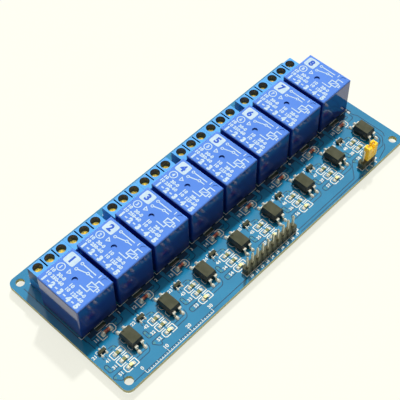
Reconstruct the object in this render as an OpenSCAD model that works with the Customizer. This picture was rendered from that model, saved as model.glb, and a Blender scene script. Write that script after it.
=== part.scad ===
// Relay module board: eight relays, eight screw terminal blocks and their drive circuits.
// Origin: centre of the mounting hole pattern, on the underside of the board.
// +X runs along the relay row, +Y points to the screw terminals, +Z is up from the board.

/* [Board] */
// Thickness of the circuit board
board_t = 1.6; // [1:0.1:2.4]
// Radius of the board's corners
corner_r = 2.5; // [0.5:0.1:3]
// Diameter of the mounting holes
hole_d = 3.1; // [2.5:0.1:3.4]
// Distance from a mounting hole to the short edge
hole_inset_x = 3.25; // [2.6:0.05:3.6]
// Distance from a mounting hole to the long edge
hole_inset_y = 3; // [2.6:0.05:3.4]
// Gap between neighbouring relays
relay_gap = 1.35; // [1:0.05:3]
// Distance from the end relays to the short edges
end_margin = 3.2; // [2.8:0.1:8]
// Depth of the low-voltage strip, from the front edge to the relays
logic_depth = 24.25; // [24.1:0.05:30]
// Gap between the relays and the terminal blocks
terminal_gap = 0.7; // [0.5:0.1:3]
// Distance from the terminal blocks to the rear edge
rear_margin = 5.95; // [5.5:0.05:9]
// Length of the milled slot at a relay's foot
slot_l = 4.4; // [3:0.1:5]
// Width of the milled slot
slot_w = 1.3; // [1:0.1:1.5]
// How far pins stand out below the board
tail_l = 1.9; // [1.4:0.1:2.5]
// Clearance between a pin's corners and its hole
hole_clearance = 0.1; // [0.05:0.01:0.2]

/* [Relay] */
// Width of a relay, along the row
relay_w = 15.4; // [13.8:0.1:17.5]
// Length of a relay, front to rear
relay_l = 19; // [17:0.1:22]
// Height of a relay's cover
relay_h = 15.3; // [12:0.1:18]
// Height of the feet under a cover
relay_foot = 0.3; // [0.2:0.05:0.6]
// Side wall of a cover
cover_wall = 0.9; // [0.7:0.05:1]
// Top of a cover
cover_top = 1.2; // [0.9:0.1:1.6]
// Rounding of a cover's outer edges
cover_r = 0.55; // [0.3:0.05:0.8]
// Thickness of a relay's base
base_t = 1.6; // [1.2:0.1:2.4]
// How deep the base sits inside the cover's rim
base_recess = 0.4; // [0.2:0.1:0.8]
// Gap between a base and its cover
base_gap = 0.06; // [0.03:0.01:0.08]
// Distance from a relay's front to its common pin
common_inset = 2.4; // [2:0.1:2.8]
// Distance from a relay's sides to its side pins
side_pin_inset = 1.7; // [1.65:0.05:2.1]
// Distance from the common pin back to the coil pins
coil_step = 2; // [1.8:0.1:2.4]
// Distance from a relay's rear to its contact pins
rear_pin_inset = 2.4; // [2:0.1:2.8]
// Width of a relay's pins
relay_pin_w = 1; // [0.8:0.05:1]
// Thickness of a relay's pins
relay_pin_t = 0.5; // [0.3:0.05:0.6]

/* [Relay coil] */
// Diameter of the iron core
core_d = 3.6; // [3:0.1:4]
// Thickness of the iron frame
yoke_t = 1.1; // [0.9:0.1:1.3]
// Diameter of the coil winding
winding_d = 8.2; // [7:0.1:8.6]
// Space above the coil for the armature
coil_headroom = 1.7; // [1.2:0.1:2.4]
// Space between the iron frame and the cover's rear wall
coil_rear_gap = 1.2; // [0.8:0.1:1.6]
// Thickness of the bobbin's flanges and tube
bobbin_t = 0.7; // [0.5:0.05:0.8]

/* [Terminal blocks] */
// Distance between the poles of a terminal block
pole_pitch = 5; // [5:0.02:5.08]
// Depth of a terminal block
block_d = 7.6; // [7.4:0.1:8.4]
// Height of a terminal block
block_h = 10; // [9.6:0.1:12]
// How much closer the pairs of blocks stand than the pairs of relays
pair_inset = 0.7; // [0.5:0.05:1]
// Gap between the two blocks of a pair
block_gap = 0.06; // [0.04:0.02:0.2]
// Thickness of a block's front wall
front_wall = 0.9; // [0.7:0.05:1.1]
// Diameter of the wells that the screws sit in
well_d = 3.5; // [3.4:0.05:3.7]
// Height of the ledge under a screw's head
ledge_z = 6.3; // [6.2:0.05:6.5]
// Width of the wire entries
entry_w = 3; // [2.6:0.1:3.3]
// Height of the wire entries
entry_h = 3; // [2.6:0.1:3.2]
// Gap round a screw's head in its well
head_clearance = 0.25; // [0.15:0.01:0.28]
// Height of a terminal screw's head
head_h = 1.2; // [1:0.1:1.8]
// Diameter of a terminal screw's shank
shank_d = 2.3; // [2:0.1:2.4]

/* [Optocouplers] */
// Width of an optocoupler, along the row
opto_w = 4.6; // [4.4:0.05:4.8]
// Length of an optocoupler's body
opto_l = 6.5; // [6.2:0.05:6.6]
// Height of an optocoupler's body
opto_h = 3.5; // [3:0.1:3.6]
// Distance between the toes of its leads
opto_span = 10.2; // [9.8:0.1:10.4]
// Distance between two leads on one side
opto_pitch = 2.54; // [2.5:0.01:2.6]
// Thickness of its leads
opto_lead_t = 0.26; // [0.2:0.02:0.3]

/* [Small parts] */
// Length of a diode over its end caps
diode_l = 3.5; // [3.3:0.1:3.7]
// Diameter of a diode's end caps
diode_d = 1.35; // [1.2:0.05:1.5]
// Length of a transistor's body
transistor_l = 2.9; // [2.8:0.05:3]
// Width of a transistor's body
transistor_w = 1.3; // [1.2:0.05:1.4]
// Height of a transistor's body
transistor_h = 0.95; // [0.85:0.05:1.1]
// Length of a chip resistor or a chip LED
chip_l = 2; // [1.9:0.05:2.1]
// Width of a chip resistor or a chip LED
chip_w = 1.25; // [1.2:0.05:1.3]
// Height of a chip resistor
resistor_h = 0.55; // [0.45:0.05:0.6]
// Height of a chip LED
led_h = 0.85; // [0.7:0.05:1.1]
// Distance between the rows of chips
chip_row_pitch = 3.1; // [2.8:0.05:3.2]

/* [Headers] */
// Number of pins in the long header
header_pins_n = 10; // [6:1:12]
// Distance between header pins
header_pitch = 2.54; // [2.5:0.01:2.56]
// Height of a header's housing
housing_h = 2.54; // [2.2:0.02:2.8]
// Width of the square header pins
header_pin_w = 0.64; // [0.6:0.01:0.68]
// How far header pins stand out above their housing
header_pin_up = 5.8; // [5:0.1:8]
// Distance from the board's front edge to the header row
header_row = 3.35; // [2.8:0.05:3.5]
// Height of the jumper cap
cap_h = 6; // [5.8:0.1:8.5]
// Width of the jumper cap
cap_w = 2.5; // [2.4:0.02:2.6]

/* [Hidden] */
$fn = 48;
channels = 8;
pairs = channels / 2;
poles = 3;
jumper_pins_n = 3;
relay_numbers = [for (i = [1:channels]) i];

function numbered(name) = [for (i = relay_numbers) str(name, "_", i)];

// Places of the parts of one channel: from the relay's centre line, and from the front edge
// or the relay's front
slot_x = -0.7;
slot_to_relay = 0.3;
diode_x = -0.55;
diode_to_relay = 3.8;
opto_x = 2.7;
opto_row = 12.6;
transistor_x = -6.6;
transistor_row = 16.2;
chip_x = -3.55;
led_row = 6.3;
header_x = -0.6;
jumper_to_end = 18.2;

// Relay
relay_pin_in = 1.2; // length of a pin above the base
relay_pin_tip = 0.3;
pin_fit = 0.04; // gap round a pin in plastic
foot_w = 2.3;
foot_inset = 0.3;
vent_d = 2;
vent_depth = 0.6;
mark_d = 2.1;
mark_depth = 0.15;
mark_x = 5.9;
mark_y = -7.2;
flange_rim = 0.3; // how far a bobbin's flange stands past the winding
core_head_t = 0.5;
core_head_rim = 1;
yoke_w = 8;
coil_fit = 0.3;

// Terminal block
chamber_fit = 0.15; // gap beside a clamp
clamp_gap = 0.2; // gap in front of a clamp
clamp_w = 3.5;
clamp_d = 3.2;
clamp_floor = 0.5;
clamp_top = 0.8;
clamp_play = 0.4; // travel of a clamp under the ledge
clamp_side = 0.4;
leg_gap = 0.5;
floor_t = 0.7;
ledge_t = 0.5;
tongue_t = 0.75;
tongue_fit = 0.05;
contact_t = 0.8;
contact_w = 1;
contact_back_gap = 0.2;
contact_tip = 0.3;
shank_fit = 0.15;
thread_fit = 0.02;
drive_w = 0.55;
drive_depth = 0.6;
drive_short = 2;
head_edge = 0.25; // chamfer round the top of a head
slit_w = 0.5;
slit_l = 4;
slit_depth = 2.6;
entry_rim = 0.35;
entry_rim_depth = 0.4;
face_step_z = 5.2;
face_step = 0.35;
top_edge = 0.3;
rear_step = 1.1;
rear_step_h = 1.6;
rear_slope = 1;
key_h = 7;
key_reach = 0.5; // how far a key stands in the next block
key_fit = 0.1;

// Small parts
body_lift = 0.15;
opto_flank = 0.35; // how much an optocoupler's body narrows to its top and bottom
opto_lead_in = 0.6;
opto_knee = 0.55;
opto_shoulder_w = 1.15;
opto_toe_w = 0.6;
opto_shoulder_drop = 0.5;
dot_d = 0.9;
dot_inset = 1.1;
dot_depth = 0.15;
glass_step = 0.1;
diode_cap_l = 0.6;
transistor_flank = 0.12;
transistor_lead_t = 0.13;
transistor_lead_w = 0.42;
transistor_lead_pitch = 0.95;
transistor_lead_in = 0.2;
transistor_knee = 0.18;
transistor_span = 2.5;
end_l = 0.4;
end_t = 0.05;
led_base_h = 0.4;
lens_flank = 0.06;

// Headers and jumper
housing_chamfer = 0.45;
housing_fit = 0.01;
header_pin_tip = 0.5;
cap_fit = 0.08;
cap_wall = 0.45;
cap_edge = 0.25;
cap_bridge = 0.9;
valley_w = 1.5;
valley_depth = 1.7;
tower_hole_d = 1.1;
window_w = 0.5;
window_h = 1.3;
window_rise = 0.3;
clip_t = 0.2;
clip_w = 1.1;
clip_gap = 0.02;
clip_step = 0.1;

// Solder
cone_share = 0.68; // height of a joint's cone against the pin's tail
cone_spread = 0.9;

// ---- Derived sizes ----

block_l = poles * pole_pitch;
channel_pitch = max(relay_w, block_l) + relay_gap;

board_l = (channels - 1) * channel_pitch + relay_w + 2 * end_margin;
board_w = logic_depth + relay_l + terminal_gap + block_d + rear_margin;
front_y = -board_w / 2;
relay_front_y = front_y + logic_depth;
relay_y = relay_front_y + relay_l / 2;
block_face_y = relay_front_y + relay_l + terminal_gap + block_d;

slot_y = relay_front_y - slot_to_relay - slot_w / 2;
diode_y = relay_front_y - diode_to_relay;
opto_y = front_y + opto_row;
transistor_y = front_y + transistor_row;
led_y = front_y + led_row;
header_y = front_y + header_row;
jumper_x = board_l / 2 - jumper_to_end;

base_z = relay_foot + base_recess;
base_top = base_z + base_t;
cover_ceiling = relay_foot + relay_h - cover_top;
rim_w = relay_w - 2 * cover_wall;
rim_l = relay_l - 2 * cover_wall;
yoke_reach = winding_d / 2 + flange_rim + coil_fit;
coil_y = rim_l / 2 - coil_rear_gap - yoke_t - yoke_reach;
bobbin_h = cover_ceiling - coil_headroom - core_head_t - yoke_t - base_top;
winding_h = bobbin_h - 2 * bobbin_t;

screw_y = -front_wall - clamp_gap - clamp_d / 2; // from a block's outer face
chamber_d = clamp_gap + clamp_d + leg_gap + contact_t + contact_back_gap;
chamber_w = clamp_w + 2 * chamber_fit;
chamber_top = ledge_z - ledge_t;
rear_wall = block_d - front_wall - chamber_d;
contact_leg_y = -front_wall - chamber_d + contact_back_gap + contact_t / 2;
clamp_h = chamber_top - clamp_play - floor_t;
clamp_window_h = clamp_h - clamp_floor - clamp_top;
clamp_window_w = clamp_w - 2 * clamp_side;
tongue_w = clamp_window_w - 2 * tongue_fit;
tongue_top = floor_t + clamp_floor + clamp_window_h - tongue_fit;
head_d = well_d - 2 * head_clearance;
key_w = rear_wall / 2;

opto_lead_z = body_lift + opto_h / 2;
transistor_lead_z = body_lift + transistor_h / 2;
header_pin_l = tail_l + board_t + housing_h + header_pin_up;
cap_l = 2 * header_pitch - cap_fit;
cap_cavity_h = cap_h - valley_depth - cap_bridge;

// ---- Places ----

function channel_x(i) = (i - (channels + 1) / 2) * channel_pitch;

// Centre of terminal block i along X: blocks stand in pairs, one pair for two relays
function block_x(i) =
    let (pair = floor((i - 1) / 2), side = (i - 1) % 2)
    (pair - (pairs - 1) / 2) * (2 * channel_pitch - pair_inset)
    + (side - 0.5) * (block_l + block_gap);

function pole_x(k) = (k - (poles - 1) / 2) * pole_pitch;

// A relay's five pins, from the relay's centre: common, two coil pins, two contact pins
common_y = -relay_l / 2 + common_inset;
side_pin_x = relay_w / 2 - side_pin_inset;
relay_pin_places = [
    [0, common_y],
    for (y = [common_y + coil_step, relay_l / 2 - rear_pin_inset])
        for (x = [-side_pin_x, side_pin_x]) [x, y]
];

function pin_hole_d(w, t) = sqrt(w * w + t * t) + 2 * hole_clearance;

function header_pin_xs(n) = [for (k = [0:n - 1]) (k - (n - 1) / 2) * header_pitch];

module at_relay(i) translate([channel_x(i), relay_y, board_t]) children();

module at_block(i) translate([block_x(i), block_face_y, board_t]) children();

module at_poles() for (k = [0:poles - 1]) translate([pole_x(k), 0, 0]) children();

module each_channel() for (i = relay_numbers) translate([channel_x(i), 0, board_t]) children();

// ---- Shared shapes ----

module rounded_rect(w, l, r) {
    square([w - 2 * r, l], center = true);
    square([w, l - 2 * r], center = true);
    for (x = [-1, 1], y = [-1, 1])
        translate([x * (w / 2 - r), y * (l / 2 - r)]) circle(r);
}

// Side view with its two upper corners rounded
module dome_section(w, h, r) {
    translate([-w / 2, 0]) square([w, h - r]);
    translate([-w / 2 + r, 0]) square([w - 2 * r, h]);
    for (x = [-1, 1]) translate([x * (w / 2 - r), h - r]) circle(r);
}

// Block with rounded upright and top edges, standing on z = 0
module rounded_block(w, l, h, r) {
    intersection() {
        linear_extrude(h) rounded_rect(w, l, r);
        rotate([90, 0, 0]) linear_extrude(l, center = true) dome_section(w, h, r);
        rotate([90, 0, 90]) linear_extrude(w, center = true) dome_section(l, h, r);
    }
}

// Side view of a moulded body, widest half way up
module draft_section(w, h, draft) {
    polygon([[-w / 2 + draft, 0], [w / 2 - draft, 0], [w / 2, h / 2],
             [w / 2 - draft, h], [-w / 2 + draft, h], [-w / 2, h / 2]]);
}

// Moulded package body with drafted sides
module drafted_body(w, l, h, draft) {
    intersection() {
        rotate([90, 0, 0]) linear_extrude(l, center = true) draft_section(w, h, draft);
        rotate([90, 0, 90]) linear_extrude(w, center = true) draft_section(l, h, draft);
    }
}

// Lead bent twice: out of the body, down to the board and out to its toe, seen from its side
module bent_lead(body_y, knee_y, toe_y, top_z, t) {
    translate([body_y, top_z - t / 2]) square([knee_y - body_y, t]);
    translate([knee_y, top_z - t / 2]) intersection() {
        circle(t);
        square(t);
    }
    translate([knee_y, t / 2]) square([t, top_z - t]);
    translate([knee_y + t, t]) intersection() {
        circle(t);
        translate([-t, -t]) square(t);
    }
    translate([knee_y + t, 0]) square([toe_y - knee_y - t, t]);
}

// Straight pin of rectangular section with four-sided points at both ends
module pointed_pin(w, t, length, point) {
    intersection() {
        rotate([90, 0, 0]) linear_extrude(t, center = true) pin_section(w, length, point);
        rotate([90, 0, 90]) linear_extrude(w, center = true) pin_section(t, length, point);
    }
}

module pin_section(w, length, point) {
    tip = w * 0.22;
    polygon([[-tip, 0], [tip, 0], [w / 2, point], [w / 2, length - point],
             [tip, length], [-tip, length], [-w / 2, length - point], [-w / 2, point]]);
}

// Box standing on z = 0, centred in X and Y
module post(w, l, h) translate([-w / 2, -l / 2, 0]) cube([w, l, h]);

// ---- Circuit board ----

module mounting_holes() {
    for (x = [-1, 1], y = [-1, 1])
        translate([x * (board_l / 2 - hole_inset_x), y * (board_w / 2 - hole_inset_y)])
            circle(d = hole_d);
}

module isolation_slots() {
    for (i = relay_numbers)
        translate([channel_x(i) + slot_x, slot_y]) {
            square([slot_l - slot_w, slot_w], center = true);
            for (side = [-1, 1]) translate([side * (slot_l - slot_w) / 2, 0]) circle(d = slot_w);
        }
}

// Holes of every soldered pin: d for each kind comes from its pin's section
module pin_holes() {
    for (i = relay_numbers) {
        for (p = relay_pin_places)
            translate([channel_x(i) + p[0], relay_y + p[1]])
                circle(d = pin_hole_d(relay_pin_w, relay_pin_t));
        for (k = [0:poles - 1])
            translate([block_x(i) + pole_x(k), block_face_y + contact_leg_y])
                circle(d = pin_hole_d(contact_w, contact_t));
    }
    for (x = header_pin_xs(header_pins_n))
        translate([header_x + x, header_y]) circle(d = pin_hole_d(header_pin_w, header_pin_w));
    for (x = header_pin_xs(jumper_pins_n))
        translate([jumper_x + x, header_y]) circle(d = pin_hole_d(header_pin_w, header_pin_w));
}

module circuit_board() {
    color("steelblue") linear_extrude(board_t) difference() {
        rounded_rect(board_l, board_w, corner_r);
        mounting_holes();
        isolation_slots();
        pin_holes();
    }
}

// ---- Relays ----

// Moulded cover: open below, on four feet, with a vent dimple and a gate mark on top
module relay_cover(i) {
    color("royalblue") at_relay(i) difference() {
        union() {
            translate([0, 0, relay_foot]) rounded_block(relay_w, relay_l, relay_h, cover_r);
            relay_feet();
        }
        translate([0, 0, -1])
            linear_extrude(1 + cover_ceiling) rounded_rect(rim_w, rim_l, cover_r / 2);
        translate([0, 0, relay_foot + relay_h - vent_depth]) cylinder(d = vent_d, h = vent_depth + 1);
        translate([mark_x, mark_y, relay_foot + relay_h - mark_depth])
            cylinder(d = mark_d, h = mark_depth + 1);
    }
}

module relay_feet() {
    inset = foot_inset + foot_w / 2;
    for (x = [-1, 1], y = [-1, 1])
        translate([x * (relay_w / 2 - inset), y * (relay_l / 2 - inset), 0])
            post(foot_w, foot_w, relay_foot + 1);
}

// Moulded base, set into the cover from below, with a slot for each pin
module relay_base(i) {
    color("midnightblue") at_relay(i) difference() {
        translate([0, 0, base_z]) linear_extrude(base_t)
            rounded_rect(rim_w - 2 * base_gap, rim_l - 2 * base_gap, cover_r / 2);
        for (p = relay_pin_places)
            translate([p[0], p[1], 0])
                post(relay_pin_w + 2 * pin_fit, relay_pin_t + 2 * pin_fit, relay_h);
    }
}

module relay_pins() {
    length = tail_l + board_t + base_top + relay_pin_in;
    color("silver") for (i = relay_numbers, p = relay_pin_places)
        translate([channel_x(i) + p[0], relay_y + p[1], -tail_l])
            pointed_pin(relay_pin_w, relay_pin_t, length, relay_pin_tip);
}

// The coil stands on the base: core inside the bobbin's tube, winding round it
module at_coil(i) at_relay(i) translate([0, coil_y, base_top]) children();

module relay_bobbins() {
    flange_d = winding_d + 2 * flange_rim;
    color("ivory") for (i = relay_numbers) at_coil(i) translate([0, 0, yoke_t]) difference() {
        union() {
            cylinder(d = flange_d, h = bobbin_t);
            translate([0, 0, bobbin_h - bobbin_t]) cylinder(d = flange_d, h = bobbin_t);
            cylinder(d = core_d + 2 * bobbin_t, h = bobbin_h);
        }
        translate([0, 0, -1]) cylinder(d = core_d, h = bobbin_h + 2);
    }
}

module relay_windings() {
    color("chocolate") for (i = relay_numbers) at_coil(i)
        translate([0, 0, yoke_t + bobbin_t]) difference() {
            cylinder(d = winding_d, h = winding_h);
            translate([0, 0, -1]) cylinder(d = core_d + 2 * bobbin_t, h = winding_h + 2);
        }
}

module relay_cores() {
    color("gray") for (i = relay_numbers) at_coil(i) {
        cylinder(d = core_d, h = yoke_t + bobbin_h);
        translate([0, 0, yoke_t + bobbin_h]) cylinder(d = core_d + 2 * core_head_rim, h = core_head_t);
    }
}

// Iron frame: foot under the bobbin, with the core's seat, and an upright behind it
module relay_yokes() {
    color("slategray") for (i = relay_numbers) at_coil(i) difference() {
        union() {
            translate([-yoke_w / 2, -core_d, 0]) cube([yoke_w, core_d + yoke_reach + yoke_t, yoke_t]);
            translate([-yoke_w / 2, yoke_reach, 0]) cube([yoke_w, yoke_t, yoke_t + bobbin_h]);
        }
        translate([0, 0, -1]) cylinder(d = core_d, h = yoke_t + 2);
    }
}

// ---- Terminal blocks ----

// Block-local frame: outer face at y = 0, the block behind it towards -Y, board at z = 0
module block_section() {
    polygon([
        [0, 0], [0, face_step_z], [-face_step, face_step_z + face_step],
        [-face_step, block_h - top_edge], [-face_step - top_edge, block_h],
        [-block_d + rear_step, block_h], [-block_d + rear_step, block_h - rear_step_h],
        [-block_d, block_h - rear_step_h - rear_slope], [-block_d, 0]
    ]);
}

// Dovetail key in the rear wall, seen from above; grow makes the groove it slides into
module block_key(grow) {
    neck = key_w * 0.7;
    reach = block_gap + key_reach + grow;
    translate([0, -block_d + rear_wall / 2]) polygon([
        [0, -neck / 2 - grow], [-reach, -key_w / 2 - grow],
        [-reach, key_w / 2 + grow], [0, neck / 2 + grow]
    ]);
}

// Inside of one pole: screw well, ledge, clamp chamber, wire entry and the contact's slot
module pole_cut() {
    entry_z = floor_t + clamp_floor;
    translate([0, screw_y, ledge_z]) cylinder(d = well_d, h = block_h);
    translate([0, screw_y, floor_t]) cylinder(d = shank_d + 2 * shank_fit, h = ledge_z);
    translate([-chamber_w / 2, -front_wall - chamber_d, floor_t])
        cube([chamber_w, chamber_d, chamber_top - floor_t]);
    translate([0, 0, entry_z]) post(entry_w, 2 * front_wall + 1, entry_h);
    translate([0, 0, entry_z - entry_rim])
        post(entry_w + 2 * entry_rim, 2 * entry_rim_depth, entry_h + 2 * entry_rim);
    translate([0, contact_leg_y, -1])
        post(contact_w + 2 * pin_fit, contact_t + 2 * pin_fit, floor_t + 2);
}

module terminal_block(i) {
    color("dodgerblue") at_block(i) {
        difference() {
            rotate([90, 0, 90]) linear_extrude(block_l, center = true) block_section();
            at_poles() pole_cut();
            for (k = [0:poles - 2])
                translate([(pole_x(k) + pole_x(k + 1)) / 2, screw_y, block_h - slit_depth])
                    post(slit_w, slit_l, slit_depth + 1);
            translate([block_l / 2, 0, -1]) linear_extrude(key_h + 1 + key_fit) block_key(key_fit);
        }
        translate([-block_l / 2, 0, 0]) linear_extrude(key_h) block_key(0);
    }
}

module terminal_screws() {
    color("gold") for (i = relay_numbers) at_block(i) for (k = [0:poles - 1])
        translate([pole_x(k), screw_y, 0]) difference() {
            union() {
                translate([0, 0, tongue_top]) cylinder(d = shank_d, h = ledge_z - tongue_top);
                translate([0, 0, ledge_z]) cylinder(d = head_d, h = head_h - head_edge);
                translate([0, 0, ledge_z + head_h - head_edge])
                    cylinder(d1 = head_d, d2 = head_d - 2 * head_edge, h = head_edge);
            }
            // a slot right across and a short one over it, each screw left at its own angle
            translate([0, 0, ledge_z + head_h - drive_depth]) rotate([0, 0, 37 * i + 53 * k]) {
                post(head_d + 1, drive_w, 1);
                post(drive_w, drive_short, 1);
            }
        }
}

// Rising clamp: a square cage that the screw lifts against the contact's tongue
module terminal_clamps() {
    color("lightsteelblue") for (i = relay_numbers) at_block(i) at_poles()
        translate([0, screw_y, floor_t]) difference() {
            post(clamp_w, clamp_d, clamp_h);
            translate([0, 0, clamp_floor]) post(clamp_window_w, clamp_d + 1, clamp_window_h);
            translate([0, 0, clamp_floor]) cylinder(d = shank_d + 2 * thread_fit, h = clamp_h);
        }
}

// Contact: a tongue through the clamp and a tail through the board
module terminal_contacts() {
    leg_back = contact_leg_y - contact_t / 2;
    tongue_l = -front_wall - leg_back - tongue_fit;
    tail = board_t + tail_l;
    color("silver") for (i = relay_numbers) at_block(i) at_poles() {
        translate([-tongue_w / 2, leg_back, tongue_top - tongue_t]) cube([tongue_w, tongue_l, tongue_t]);
        translate([-tongue_w / 2, leg_back, floor_t]) cube([tongue_w, contact_t, tongue_top - floor_t]);
        translate([0, contact_leg_y, -tail]) intersection() {
            pointed_pin(contact_w, contact_t, 2 * tail, contact_tip);
            post(contact_w, contact_t, tail + floor_t);
        }
    }
}

// ---- Optocouplers ----

module opto_lead_section() {
    bent_lead(opto_l / 2 - opto_lead_in, opto_l / 2 + opto_knee, opto_span / 2,
              opto_lead_z, opto_lead_t);
}

// Broad shoulder at the body, narrow leg down to the toe
module opto_lead() {
    rotate([90, 0, 90]) linear_extrude(opto_toe_w, center = true) opto_lead_section();
    rotate([90, 0, 90]) linear_extrude(opto_shoulder_w, center = true) intersection() {
        opto_lead_section();
        translate([0, opto_lead_z - opto_shoulder_drop]) square([opto_span, opto_h]);
    }
}

module opto_leads_at() {
    for (side = [0, 180], x = [-opto_pitch / 2, opto_pitch / 2])
        rotate([0, 0, side]) translate([x, 0, 0]) children();
}

module optocoupler(i) {
    color("dimgray") translate([channel_x(i) + opto_x, opto_y, board_t]) difference() {
        translate([0, 0, body_lift]) drafted_body(opto_w, opto_l, opto_h, opto_flank);
        opto_leads_at() translate([0, opto_l / 2, opto_lead_z - opto_lead_t / 2])
            post(opto_shoulder_w, 2 * opto_lead_in, opto_lead_t);
        translate([-opto_w / 2 + dot_inset, opto_l / 2 - dot_inset, body_lift + opto_h - dot_depth])
            cylinder(d = dot_d, h = 1);
    }
}

module optocoupler_leads() {
    color("silver") each_channel() translate([opto_x, opto_y, 0]) opto_leads_at() opto_lead();
}

// ---- Diodes, transistors, chips ----

module diode_glass() {
    color("orangered") each_channel() translate([diode_x, diode_y, diode_d / 2])
        rotate([0, 90, 0])
            cylinder(d = diode_d - 2 * glass_step, h = diode_l - 2 * diode_cap_l, center = true);
}

module diode_caps() {
    color("silver") each_channel() for (side = [-1, 1])
        translate([diode_x + side * (diode_l - diode_cap_l) / 2, diode_y, diode_d / 2])
            rotate([0, 90, 0]) cylinder(d = diode_d, h = diode_cap_l, center = true);
}

// Two leads face the front edge, one faces the relay
module transistor_leads_at() {
    for (lead = [[-transistor_lead_pitch, 180], [transistor_lead_pitch, 180], [0, 0]])
        rotate([0, 0, lead[1]]) translate([lead[0], 0, 0]) children();
}

module transistors() {
    color("darkslategray") each_channel() translate([transistor_x, transistor_y, 0]) difference() {
        translate([0, 0, body_lift])
            drafted_body(transistor_l, transistor_w, transistor_h, transistor_flank);
        transistor_leads_at()
            translate([0, transistor_w / 2, transistor_lead_z - transistor_lead_t / 2])
                post(transistor_lead_w, 2 * transistor_lead_in, transistor_lead_t);
    }
}

module transistor_leads() {
    color("silver") each_channel() translate([transistor_x, transistor_y, 0])
        transistor_leads_at() rotate([90, 0, 90]) linear_extrude(transistor_lead_w, center = true)
            bent_lead(transistor_w / 2 - transistor_lead_in, transistor_w / 2 + transistor_knee,
                      transistor_span / 2, transistor_lead_z, transistor_lead_t);
}

module each_resistor() {
    each_channel() for (row = [1, 2]) translate([chip_x, led_y + row * chip_row_pitch, 0]) children();
}

module each_led() each_channel() translate([chip_x, led_y, 0]) children();

module chip_core(h) translate([0, 0, end_t]) post(chip_l - 2 * end_t, chip_w - 2 * end_t, h - 2 * end_t);

// Metal ends that wrap round a chip
module chip_ends(h) {
    difference() {
        for (side = [-1, 1]) translate([side * (chip_l - end_l) / 2, 0, 0]) post(end_l, chip_w, h);
        chip_core(h);
    }
}

module resistors() color("dimgray") each_resistor() chip_core(resistor_h);

module resistor_ends() color("silver") each_resistor() chip_ends(resistor_h);

module led_bases() color("ivory") each_led() chip_core(led_base_h);

module led_ends() color("silver") each_led() chip_ends(led_base_h);

module led_lenses() {
    color("yellow") each_led() translate([0, 0, led_base_h - end_t])
        drafted_body(chip_l - 2 * end_l, chip_w - 2 * end_t, led_h - led_base_h + end_t, lens_flank);
}

// ---- Headers and jumper ----

// Break-away housing: one chamfered cell for each pin, with a hole through it
module pin_housing(n) {
    c = housing_chamfer;
    p = header_pitch;
    difference() {
        linear_extrude(housing_h) for (x = header_pin_xs(n)) translate([x, 0]) polygon([
            [-p / 2, -p / 2 + c], [-p / 2 + c, -p / 2], [p / 2 - c, -p / 2], [p / 2, -p / 2 + c],
            [p / 2, p / 2 - c], [p / 2 - c, p / 2], [-p / 2 + c, p / 2], [-p / 2, p / 2 - c]
        ]);
        for (x = header_pin_xs(n)) translate([x, 0, -1])
            post(header_pin_w + 2 * housing_fit, header_pin_w + 2 * housing_fit, housing_h + 2);
    }
}

module square_pins(n) {
    for (x = header_pin_xs(n)) translate([x, 0, -board_t - tail_l])
        pointed_pin(header_pin_w, header_pin_w, header_pin_l, header_pin_tip);
}

module at_header(x) translate([x, header_y, board_t]) children();

module header_housing() color("dimgray") at_header(header_x) pin_housing(header_pins_n);

module header_pins() color("gold") at_header(header_x) square_pins(header_pins_n);

module jumper_housing() color("dimgray") at_header(jumper_x) pin_housing(jumper_pins_n);

module jumper_pins() color("gold") at_header(jumper_x) square_pins(jumper_pins_n);

module at_cap() at_header(jumper_x + header_pitch / 2) translate([0, 0, housing_h]) children();

// Cap for two pins: a box with two towers, a valley between them and a window in each side
module jumper_cap() {
    color("gold") at_cap() difference() {
        rounded_block(cap_l, cap_w, cap_h, cap_edge);
        translate([0, 0, -1]) post(cap_l - 2 * cap_wall, cap_w - 2 * cap_wall, cap_cavity_h + 1);
        for (x = [-1, 1]) translate([x * header_pitch / 2, 0, 0]) cylinder(d = tower_hole_d, h = cap_h + 1);
        translate([0, 0, cap_h - valley_depth + valley_w / 2]) {
            rotate([90, 0, 0]) cylinder(d = valley_w, h = cap_w + 1, center = true);
            post(valley_w, cap_w + 1, cap_h);
        }
        translate([0, 0, cap_cavity_h - window_h + window_rise]) post(window_w, cap_w + 1, window_h);
    }
}

// Sprung strip in the cap: a plate beside both pins, with a leaf on each side of each pin
module jumper_contact() {
    leaf_x = header_pin_w / 2 + clip_gap;
    plate_y = leaf_x + clip_step;
    color("silver") at_cap() translate([0, 0, window_rise]) linear_extrude(cap_cavity_h - 2 * window_rise) {
        translate([-header_pitch / 2 - leaf_x - clip_t, plate_y])
            square([header_pitch + 2 * (leaf_x + clip_t), clip_t]);
        for (pin = [-1, 1], side = [-1, 1])
            translate([pin * header_pitch / 2 + side * (leaf_x + clip_t / 2) - clip_t / 2,
                       plate_y + clip_t - clip_w])
                square([clip_t, clip_w]);
    }
}

// ---- Solder ----

// Solder round one pin: fills the hole and rises to a cone below the board
module solder_joint(w, t) {
    hole = pin_hole_d(w, t);
    cone_h = tail_l * cone_share;
    difference() {
        union() {
            cylinder(d = hole, h = board_t);
            translate([0, 0, -cone_h])
                cylinder(d1 = hole - hole_clearance, d2 = hole + cone_spread, h = cone_h);
        }
        translate([0, 0, -tail_l - 1]) post(w, t, tail_l + board_t + 2);
    }
}

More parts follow.
